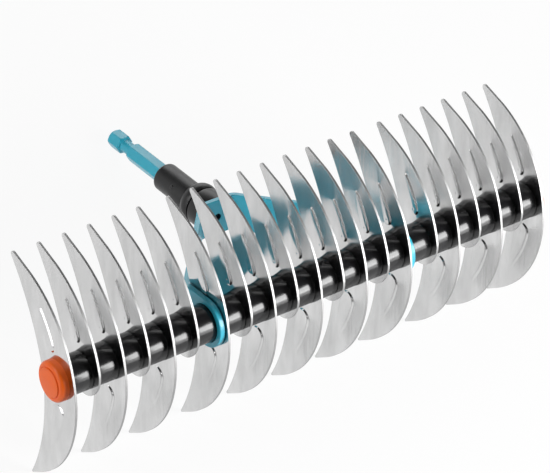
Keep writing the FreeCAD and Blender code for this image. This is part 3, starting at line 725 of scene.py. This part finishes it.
def sleeve_mesh():
    """The sleeve: a wide front end, a flare below it, a rounded rim and a nub."""
    hole = HEX_FLATS / 2
    shoulder = SLEEVE_START + FLANGE_LENGTH
    flare_start = shoulder + FLANGE_FILLET
    flare_end = SLEEVE_START + FLARE_LENGTH
    front_corner = (SLEEVE_START + NECK_BREAK, NECK_RADIUS - NECK_BREAK)
    fillet_centre = (flare_start, SLEEVE_RADIUS + FLANGE_FILLET)
    rim_corner = (SLEEVE_END - SLEEVE_RIM_ROUND, SLEEVE_RADIUS - SLEEVE_RIM_ROUND)
    profile = [(SLEEVE_START, hole)]
    profile += round_corner(front_corner, NECK_BREAK, 180, 90, NECK_BREAK_STEPS)
    profile += crown(profile[-1], (shoulder, SLEEVE_RADIUS + FLANGE_STEP), FLANGE_CROWN)
    profile.append((shoulder, SLEEVE_RADIUS + FLANGE_STEP))
    profile += round_corner(fillet_centre, FLANGE_FILLET, 180, 270)
    for index in range(1, FLARE_STEPS + 1):
        share = index / FLARE_STEPS
        profile.append((flare_start + (flare_end - shoulder) * share, SLEEVE_RADIUS))
    profile += round_corner(rim_corner, SLEEVE_RIM_ROUND, 90, 0, RIM_STEPS)
    profile.append((SLEEVE_END, hole))

    def radius_at(along, radius, turn):
        """The flare widens the lower half, and fades out at the sides."""
        if radius <= hole or along > flare_end:
            return radius
        share = (flare_end - along) / FLARE_LENGTH
        flare = SLEEVE_RADIUS + (NECK_RADIUS - SLEEVE_RADIUS) * share
        low = smooth(FLARE_SIDE_SHARE + FLARE_FADE * math.sin(turn))
        return radius + max(0, flare - radius) * low

    rings = lathe_rings(profile, all_round(TURN_STEPS), radius_at)
    points, faces = skin(rings, closed=False)
    nub_points, nub_faces = nub_skin()
    faces += [tuple(len(points) + index for index in face) for face in nub_faces]
    return new_mesh("sleeve", points + nub_points, faces, SLEEVE_SHARP_FROM)


def hexagon_radius(turn):
    """Reach of the hexagon with its rounded corners at a turn, with flats up and down."""
    flat_turn = math.radians(HEX_SECTOR / 2)
    off = abs((turn + flat_turn) % (2 * flat_turn) - flat_turn)
    reach = (HEX_FLATS / 2 - HEX_ROUND) / math.cos(flat_turn)
    along_flat = HEX_ROUND * math.sin(flat_turn)
    if off > math.atan2(along_flat, reach + HEX_ROUND * math.cos(flat_turn)):
        return HEX_FLATS / 2 / math.cos(flat_turn - off)
    return reach * math.cos(off) + math.sqrt(HEX_ROUND ** 2 - (reach * math.sin(off)) ** 2)


def shank_mesh():
    """The hexagon shank with its vent, round waist, knob and chamfers."""
    corner = HEX_FLATS / math.sqrt(3)
    end_radius = HEX_FLATS / 2 - HEX_BEVEL
    waist = end_radius - WAIST_STEP
    vent_end = FLAT_BACK + VENT_DEPTH

    def chamfer(start, end):
        """Stations along a chamfer, from one (along, radius) to another."""
        shares = [index / CHAMFER_STEPS for index in range(CHAMFER_STEPS + 1)]
        return [tuple(a + (b - a) * share for a, b in zip(start, end)) for share in shares]

    profile = [(vent_end, AXIS_RADIUS), (vent_end, FLAT_HOLE_RADIUS)]
    profile += [(FLAT_BACK, FLAT_HOLE_RADIUS), (FLAT_BACK, corner)]
    profile += chamfer((WAIST_START - HEX_CHAMFER, corner), (WAIST_START, end_radius))
    foot = waist + WAIST_ROUND
    profile += round_corner((WAIST_START + WAIST_ROUND, foot), WAIST_ROUND, 180, 270)
    profile += round_corner((KNOB_START - WAIST_ROUND, foot), WAIST_ROUND, 270, 360)
    profile += chamfer((KNOB_START, end_radius), (KNOB_START + HEX_CHAMFER, corner))
    profile += chamfer((KNOB_END - HEX_CHAMFER, corner), (KNOB_END, end_radius))
    profile.append((KNOB_END, AXIS_RADIUS))

    def radius_at(along, radius, turn):
        """The profile's radius, no further out than the hexagon."""
        return min(radius, hexagon_radius(turn))

    sectors = range(0, 360, HEX_SECTOR)
    turns = [math.radians(start + off) for start in sectors for off in HEX_TURNS]
    points, faces = skin(lathe_rings(profile, turns, radius_at))
    return paint_hole_shade(new_mesh("shank", points, faces, SHANK_SHARP_FROM))


# Materials

class Tree:
    """A node tree, filled by short calls."""

    def __init__(self, owner):
        owner.use_nodes = True
        self.tree = owner.node_tree

    def set(self, node, values):
        """Sockets by name, from numbers or from other sockets."""
        for name, value in values.items():
            if isinstance(value, bpy.types.NodeSocket):
                self.tree.links.new(value, node.inputs[name])
            else:
                node.inputs[name].default_value = value

    def node(self, kind, **values):
        """A new node, its sockets set by name with _ for a space."""
        node = self.tree.nodes.new(kind)
        self.set(node, {name.replace("_", " "): value for name, value in values.items()})
        return node

    def ramp(self, value, start, end, low, high):
        """A number that goes from low to high while the value goes from start to end."""
        made = self.node("ShaderNodeMapRange", Value=value)
        self.set(made, {"From Min": start, "From Max": end, "To Min": low, "To Max": high})
        return made.outputs["Result"]

    def operate(self, operation, first, second):
        """What a math node makes of two numbers."""
        made = self.tree.nodes.new("ShaderNodeMath")
        made.operation = operation
        self.set(made, {0: first, 1: second})
        return made.outputs["Value"]

    def along(self, place, direction):
        """How far a place is along a direction."""
        made = self.tree.nodes.new("ShaderNodeVectorMath")
        made.operation = "DOT_PRODUCT"
        self.set(made, {0: place, 1: direction})
        return made.outputs["Value"]

    def wedge(self, place):
        """How deep a place or a direction is in the dark wedge."""
        across = self.operate("ABSOLUTE", self.along(place, ACROSS), 0)
        sides = self.operate("MULTIPLY", across, WEDGE)
        return self.operate("SUBTRACT", self.along(place, FRONT_LEFT), sides)

    def mixed(self, share, first, second, end):
        """Two shaders mixed by a share, on the tree's own output."""
        made = self.tree.nodes.new("ShaderNodeMixShader")
        self.set(made, {0: share, 1: first.outputs[0], 2: second.outputs[0]})
        self.node(end, Surface=made.outputs["Shader"])


class Shader(Tree):
    """A procedural material round one Principled shader, for pieces tipped by an angle."""

    def __init__(self, name, colour, metallic, roughness, tip):
        self.material = bpy.data.materials.new(name)
        super().__init__(self.material)
        self.surface = self.tree.nodes["Principled BSDF"]
        self.finish(Base_Color=(*colour, 1), Metallic=metallic, Roughness=roughness)
        self.where = self.node("ShaderNodeTexCoord").outputs["Object"]
        self.piece = self.node("ShaderNodeObjectInfo").outputs["Random"]
        self.tip = tip

    def noise(self, scale, detail=3, grain=(1, 1, 1), rough=0.55):
        """Noise of its own on each piece, longer along an axis where the grain is larger."""
        spot = self.tree.nodes.new("ShaderNodeMapping")
        spot.vector_type = "TEXTURE"
        self.set(spot, {"Vector": self.where, "Scale": grain, "Rotation": (-self.tip, 0, 0)})
        made = self.tree.nodes.new("ShaderNodeTexNoise")
        made.noise_dimensions = "4D"
        other = self.operate("MULTIPLY", self.piece, NOISE_SPREAD)
        self.set(made, {"Vector": spot.outputs["Vector"], "W": other})
        self.set(made, {"Scale": scale, "Detail": detail, "Roughness": rough})
        return made.outputs["Fac"]

    def between(self, share, low, high):
        """A number between two, by the middle part of a noise."""
        return self.ramp(share, NOISE_LOW, NOISE_HIGH, low, high)

    def blend(self, share, low, high):
        """A colour between two, by the middle part of a noise."""
        made = self.tree.nodes.new("ShaderNodeMix")
        made.data_type = "RGBA"
        sockets = {socket.identifier: socket for socket in made.inputs}
        self.tree.links.new(self.between(share, 0, 1), sockets["Factor_Float"])
        sockets["A_Color"].default_value = (*low, 1)
        sockets["B_Color"].default_value = (*high, 1)
        return [socket for socket in made.outputs if socket.identifier == "Result_Color"][0]

    def bump(self, height, depth, under=None, strength=1.0):
        """Relief of this depth in metres, on top of another."""
        made = self.node("ShaderNodeBump", Height=height, Distance=depth, Strength=strength)
        if under:
            self.set(made, {"Normal": under})
        return made.outputs["Normal"]

    def finish(self, **values):
        """Sockets of the Principled shader, with _ for a space."""
        self.set(self.surface, {name.replace("_", " "): value for name, value in values.items()})
        return self.material


def blade_steel():
    """Bright rolled sheet with a fine grain along the spikes."""
    shader = Shader("blade_steel", (0.68, 0.68, 0.685), 0.86, 0.2, BLADE_TIP)
    grain = shader.noise(800, detail=4, grain=(1, 1, 40), rough=0.7)
    streaks = shader.noise(230, detail=2, grain=(1, 1, 10))
    smears = shader.noise(75, detail=4, grain=(1, 1, 3.5), rough=0.65)
    distance = shader.tree.nodes.new("ShaderNodeVectorMath")
    distance.operation = "LENGTH"
    shader.set(distance, {0: shader.where})
    haze = shader.ramp(distance.outputs["Value"], *HAZE)
    dull = shader.operate("MULTIPLY", haze, HAZE_ROUGHNESS)
    worn = shader.ramp(distance.outputs["Value"], *WORN)
    relief = shader.bump(streaks, depth=0.0002, strength=worn)
    around = shader.tree.nodes.new("ShaderNodeTangent")
    around.direction_type = "RADIAL"
    around.axis = "X"
    return shader.finish(
        Base_Color=shader.blend(smears, (0.58, 0.58, 0.58), (0.74, 0.74, 0.74)),
        Metallic=shader.ramp(haze, start=0, end=1, low=1, high=0.86),
        Roughness=shader.operate("ADD", shader.between(grain, 0.08, 0.14), dull),
        Anisotropic=0.75,
        Tangent=around.outputs["Tangent"],
        Normal=shader.bump(grain, depth=0.00007, under=relief, strength=worn),
    )


def blade_edge():
    """Cut edges of the sheet, with the faint lines that the die left across them."""
    shader = Shader("blade_edge", (0.38, 0.38, 0.38), 1.0, 0.49, BLADE_TIP)
    lines = shader.noise(900, detail=2, grain=(10, 1, 1))
    return shader.finish(
        Base_Color=shader.blend(lines, (0.36, 0.36, 0.36), (0.4, 0.4, 0.4)),
        Roughness=shader.between(lines, 0.44, 0.54),
    )


def tube_plastic():
    """Glossy black tube with faint wear and an uneven moulded skin."""
    shader = Shader("tube_black", (0.01, 0.01, 0.011), 0.0, 0.19, BLADE_TIP)
    scuffs = shader.noise(420, detail=4, grain=(4, 1, 1), rough=0.7)
    uneven = shader.noise(90, detail=2)
    return shader.finish(
        Base_Color=shader.blend(scuffs, (0.007, 0.007, 0.008), (0.014, 0.014, 0.015)),
        Roughness=shader.between(scuffs, 0.16, 0.22),
        Normal=shader.bump(uneven, depth=0.00002),
    )


def cap_plastic():
    """Satin orange moulding."""
    shader = Shader("cap_orange", (0.86, 0.126, 0.006), 0.0, 0.4, BLADE_TIP)
    cloud = shader.noise(140)
    fine = shader.noise(2600, detail=2)
    return shader.finish(
        Base_Color=shader.blend(cloud, (0.83, 0.12, 0.005), (0.89, 0.132, 0.007)),
        Roughness=shader.between(cloud, 0.34, 0.46),
        Normal=shader.bump(fine, depth=0.00001),
        Specular_IOR_Level=0.35,
        Subsurface_Weight=0.05,
        Subsurface_Scale=0.001,
    )


def turquoise_paint():
    """Powder coat with a slight orange peel under a gloss."""
    shader = Shader("turquoise_paint", (0.035, 0.47, 0.63), 0.0, 0.34, YOKE_TIP)
    cloud = shader.noise(70)
    peel = shader.noise(1500)
    return shader.finish(
        Base_Color=shader.blend(cloud, (0.03, 0.45, 0.61), (0.04, 0.49, 0.65)),
        Roughness=shader.between(cloud, 0.3, 0.4),
        Normal=shader.bump(peel, depth=0.00002),
        Specular_IOR_Level=0.35,
        Coat_Weight=0.3,
        Coat_Roughness=0.12,
    )


def hole_painted_shade():
    """A dark navy colour that paints the shade inside the hole of the flat."""
    shader = Shader("hole_painted_shade", (0.012, 0.03, 0.045), 0.3, 0.6, YOKE_TIP)
    cloud = shader.noise(400)
    return shader.finish(
        Base_Color=shader.blend(cloud, (0.009, 0.024, 0.036), (0.015, 0.036, 0.054)),
        Roughness=shader.between(cloud, 0.5, 0.7),
    )


def neck_plastic():
    """Matte black moulding with a fine sandy texture."""
    shader = Shader("neck_black", (0.0085, 0.0085, 0.009), 0.0, 0.35, YOKE_TIP)
    cloud = shader.noise(110)
    sand = shader.noise(3200)
    return shader.finish(
        Base_Color=shader.blend(cloud, (0.006, 0.006, 0.0065), (0.011, 0.011, 0.0115)),
        Roughness=shader.between(cloud, 0.3, 0.4),
        Specular_IOR_Level=0.4,
        Normal=shader.bump(sand, depth=0.00003),
    )


def zinc_steel():
    """Zinc plated rod and nuts, hidden by the tubes and caps."""
    shader = Shader("zinc_steel", (0.6, 0.61, 0.63), 1.0, 0.35, BLADE_TIP)
    cloud = shader.noise(300)
    return shader.finish(
        Base_Color=shader.blend(cloud, (0.55, 0.56, 0.58), (0.66, 0.67, 0.69)),
        Roughness=shader.between(cloud, 0.28, 0.45),
        Normal=shader.bump(cloud, depth=0.00001),
    )


# The rake

def blade_x(count):
    """Where the middle of a blade is along the axle."""
    steps = count - MIDDLE_BLADE
    side = 0
    if abs(steps) > (INNER_BLADES - 1) // 2:
        side = int(math.copysign(1, steps))
    return steps * PITCH + side * BEARING_EXTRA


def make_blade_set():
    """Blades, tubes, caps, and what they hide."""
    steel = [blade_steel(), blade_edge()]
    black = [tube_plastic()]
    orange = [cap_plastic()]
    zinc = zinc_steel()
    short = tipped(blade_mesh("short_blade", is_long=False), BLADE_TIP)
    long = tipped(blade_mesh("long_blade", is_long=True), BLADE_TIP)
    for count in range(1, BLADES + 1):
        node = f"blade_{count:02d}"
        mesh = long if count % 2 else short
        where = blade_x(count)
        place(node + "_sheet", mesh, where, steel, "blade_set", [node], "blade_steel")
    spacer_mesh = tipped(tube_mesh("spacer", SPACER_LENGTH), BLADE_TIP)
    bearing_mesh = tipped(tube_mesh("bearing", BEARING_LENGTH), BLADE_TIP)
    spacer = 0
    bearing = 0
    for count in range(1, BLADES):
        where = (blade_x(count) + blade_x(count + 1)) / 2
        if count in (OUTER_BLADES, OUTER_BLADES + INNER_BLADES):
            bearing += 1
            node = f"bearing_tube_{bearing}"
            mesh = bearing_mesh
        else:
            spacer += 1
            node = f"tube_{spacer:02d}"
            mesh = spacer_mesh
        place(node + "_shell", mesh, where, black, "blade_set", [node], "tube_black")
    outer_face = blade_x(BLADES) + BLADE_THICK / 2
    for word, side in (("left", -1), ("right", 1)):
        cap = tipped(cap_mesh(f"cap_{word}", side), BLADE_TIP)
        where = side * outer_face
        place(f"cap_{word}_shell", cap, where, orange, "blade_set", [f"cap_{word}"], "cap_orange")
    for node in ("tie_rod", "nut_left", "nut_right"):
        mesh = frame["nodes"][node].data
        mesh.materials.clear()
        mesh.materials.append(zinc)


def make_yoke():
    """The yoke, the black neck and the shank."""
    # The second material paints the shade inside the hole of the flat and the shank's vent.
    paint = [turquoise_paint(), hole_painted_shade()]
    black = [neck_plastic()]
    for name, mesh, materials, node, slot in (
        ("yoke_bar", yoke_mesh(), paint, "yoke", "turquoise_paint"),
        ("shank_bar", shank_mesh(), paint, "shank", "turquoise_paint"),
        ("collar_shell", collar_mesh(), black, "collar", "neck_black"),
        ("sleeve_shell", sleeve_mesh(), black, "sleeve", "neck_black"),
    ):
        place(name, tipped(mesh, YOKE_TIP), 0, materials, "frame", [node], slot)


# The studio

def make_camera():
    """The photograph's camera, given in the blades' frame."""
    azimuth = math.radians(CAMERA_AZIMUTH)
    elevation = math.radians(CAMERA_ELEVATION)
    at = Vector(CAMERA_AT) * MM
    right = Vector((math.cos(azimuth), -math.sin(azimuth), 0))
    back = Vector((
        -math.sin(azimuth) * math.cos(elevation),
        -math.cos(azimuth) * math.cos(elevation),
        math.sin(elevation),
    ))
    turned_to = Matrix((right, back.cross(right), back)).transposed().to_4x4()
    lens = bpy.data.cameras.new("camera")
    lens.sensor_width = SENSOR_WIDTH
    lens.lens = LENS
    camera = new_object("camera", lens)
    camera.matrix_world = BLADE_FRAME @ Matrix.Translation(at) @ turned_to
    bpy.context.scene.camera = camera


def add_lamp(name, direction, distance, size, radiance):
    """A soft box in this direction from the rake, facing it."""
    width, height = size
    data = bpy.data.lights.new(name, "AREA")
    data.shape = "RECTANGLE"
    data.size = width
    data.size_y = height
    data.energy = radiance * math.pi * width * height
    direction = Vector(direction).normalized()
    stand = Matrix.Translation(Vector(LAMP_AIM) + direction * distance)
    facing = direction.to_track_quat("Z", "Y").to_matrix().to_4x4()
    new_object(name, data).matrix_world = stand @ facing


def make_floor():
    """A plain pale floor, white to the camera and in the metal, that keeps a soft shadow."""
    mesh = bpy.data.meshes.new("floor")
    corners = [(x * FLOOR_REACH, y * FLOOR_REACH, 0) for x, y in FLOOR_CORNERS]
    mesh.from_pydata(corners, [], [(0, 1, 2, 3)])
    floor = new_object("floor", mesh)
    material = bpy.data.materials.new("floor")
    ground = Tree(material)
    ground.tree.nodes.clear()
    path = ground.node("ShaderNodeLightPath")
    spot = ground.node("ShaderNodeTexCoord").outputs["Object"]
    lit = ground.ramp(ground.wedge(spot), *FLOOR_LIT)
    seen = ground.operate("MULTIPLY", path.outputs["Is Camera Ray"], FLOOR_WHITE)
    mirrored = ground.operate("MULTIPLY", path.outputs["Is Glossy Ray"], lit)
    share = ground.operate("ADD", seen, mirrored)
    plain = ground.node("ShaderNodeBsdfDiffuse", Color=FLOOR_GREY)
    white = ground.node("ShaderNodeEmission")
    ground.mixed(share, plain, white, "ShaderNodeOutputMaterial")
    mesh.materials.append(material)


def make_world():
    """White to the camera. In the metal it is pale low down on the lit side, else dark."""
    world = bpy.data.worlds.new("studio")
    bpy.context.scene.world = world
    sky = Tree(world)
    sky.tree.nodes.clear()
    path = sky.node("ShaderNodeLightPath")
    direction = sky.node("ShaderNodeTexCoord").outputs["Generated"]
    low = sky.ramp(sky.along(direction, UP), *SKY_LOW)
    lit = sky.ramp(sky.wedge(direction), *SKY_LIT)
    gloss = sky.operate("MULTIPLY", low, lit)
    soft = sky.ramp(path.outputs["Is Glossy Ray"], start=0, end=1, low=SKY_SOFT, high=1)
    strength = sky.operate("MULTIPLY", gloss, soft)
    studio = sky.node("ShaderNodeBackground", Color=WHITE, Strength=strength)
    white = sky.node("ShaderNodeBackground", Color=WHITE)
    sky.mixed(path.outputs["Is Camera Ray"], studio, white, "ShaderNodeOutputWorld")


def make_studio():
    """Floor, world, lamps and camera."""
    make_floor()
    make_world()
    for name, lamp in LAMPS.items():
        add_lamp(name, *lamp)
    make_camera()
    bpy.context.scene.view_settings.view_transform = "Standard"


make_blade_set()
make_yoke()
make_studio()
